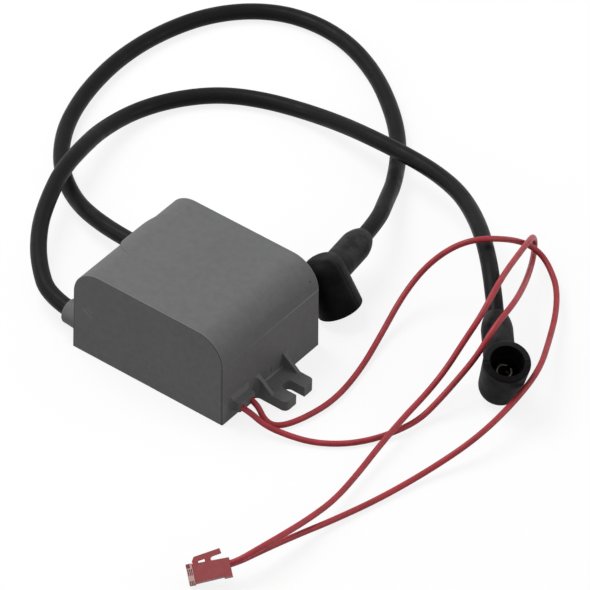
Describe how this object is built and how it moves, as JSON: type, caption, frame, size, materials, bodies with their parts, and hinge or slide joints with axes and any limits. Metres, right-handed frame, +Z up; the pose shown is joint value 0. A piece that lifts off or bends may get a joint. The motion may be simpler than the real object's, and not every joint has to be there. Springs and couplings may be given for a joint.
{
  "type": "ignition_transformer",
  "caption": "Grey potted ignition transformer block with slotted mounting ears, black high-voltage cables ending in rubber elbow boots, and red leads to a small latching plug.",
  "frame": {"origin": "middle of the housing's base", "axes": "+Z up, +X towards the side with the red leads, -X towards the side with the high-voltage cables, -Y the wide front face"},
  "size_m": [0.28, 0.3224, 0.044],
  "materials": {
    "grey_plastic": "moulded mid-grey plastic with a fine matt grain",
    "resin": "cast pale brown resin, dull",
    "board": "glass-fibre board",
    "component_case": "dipped or boxed component cases",
    "black_plastic": "black moulded component cases",
    "ferrite": "pressed dark ferrite",
    "copper": "enamelled copper wire",
    "bobbin_plastic": "pale moulded bobbin",
    "tinned_steel": "tinned sheet and wire",
    "cable_jacket": "black silicone cable jacket with a soft sheen",
    "boot_rubber": "black moulded rubber, dull",
    "red_insulation": "red wire insulation with a soft sheen",
    "red_plastic": "red moulded nylon",
    "contact_brass": "plated crimp contacts"
  },
  "bodies": {
    "root": {"housing": "grey_plastic", "potting_fill": "resin", "circuit_board": "board", "storage_capacitor": "component_case", "limiting_resistor": "component_case", "rectifier_diodes": "black_plastic", "trigger_thyristor": "black_plastic", "ferrite_rod": "ferrite", "primary_winding": "copper", "secondary_bobbin": "bobbin_plastic", "secondary_winding": "copper", "front_output_pin": "tinned_steel", "rear_output_pin": "tinned_steel", "front_cable": "cable_jacket", "rear_cable": "cable_jacket", "front_boot": "boot_rubber", "rear_boot": "boot_rubber", "front_boot_terminal": "tinned_steel", "rear_boot_terminal": "tinned_steel", "front_lead": "red_insulation", "rear_lead": "red_insulation", "plug_housing": "red_plastic", "upper_contact": "contact_brass", "lower_contact": "contact_brass"}
  },
  "joints": []
}
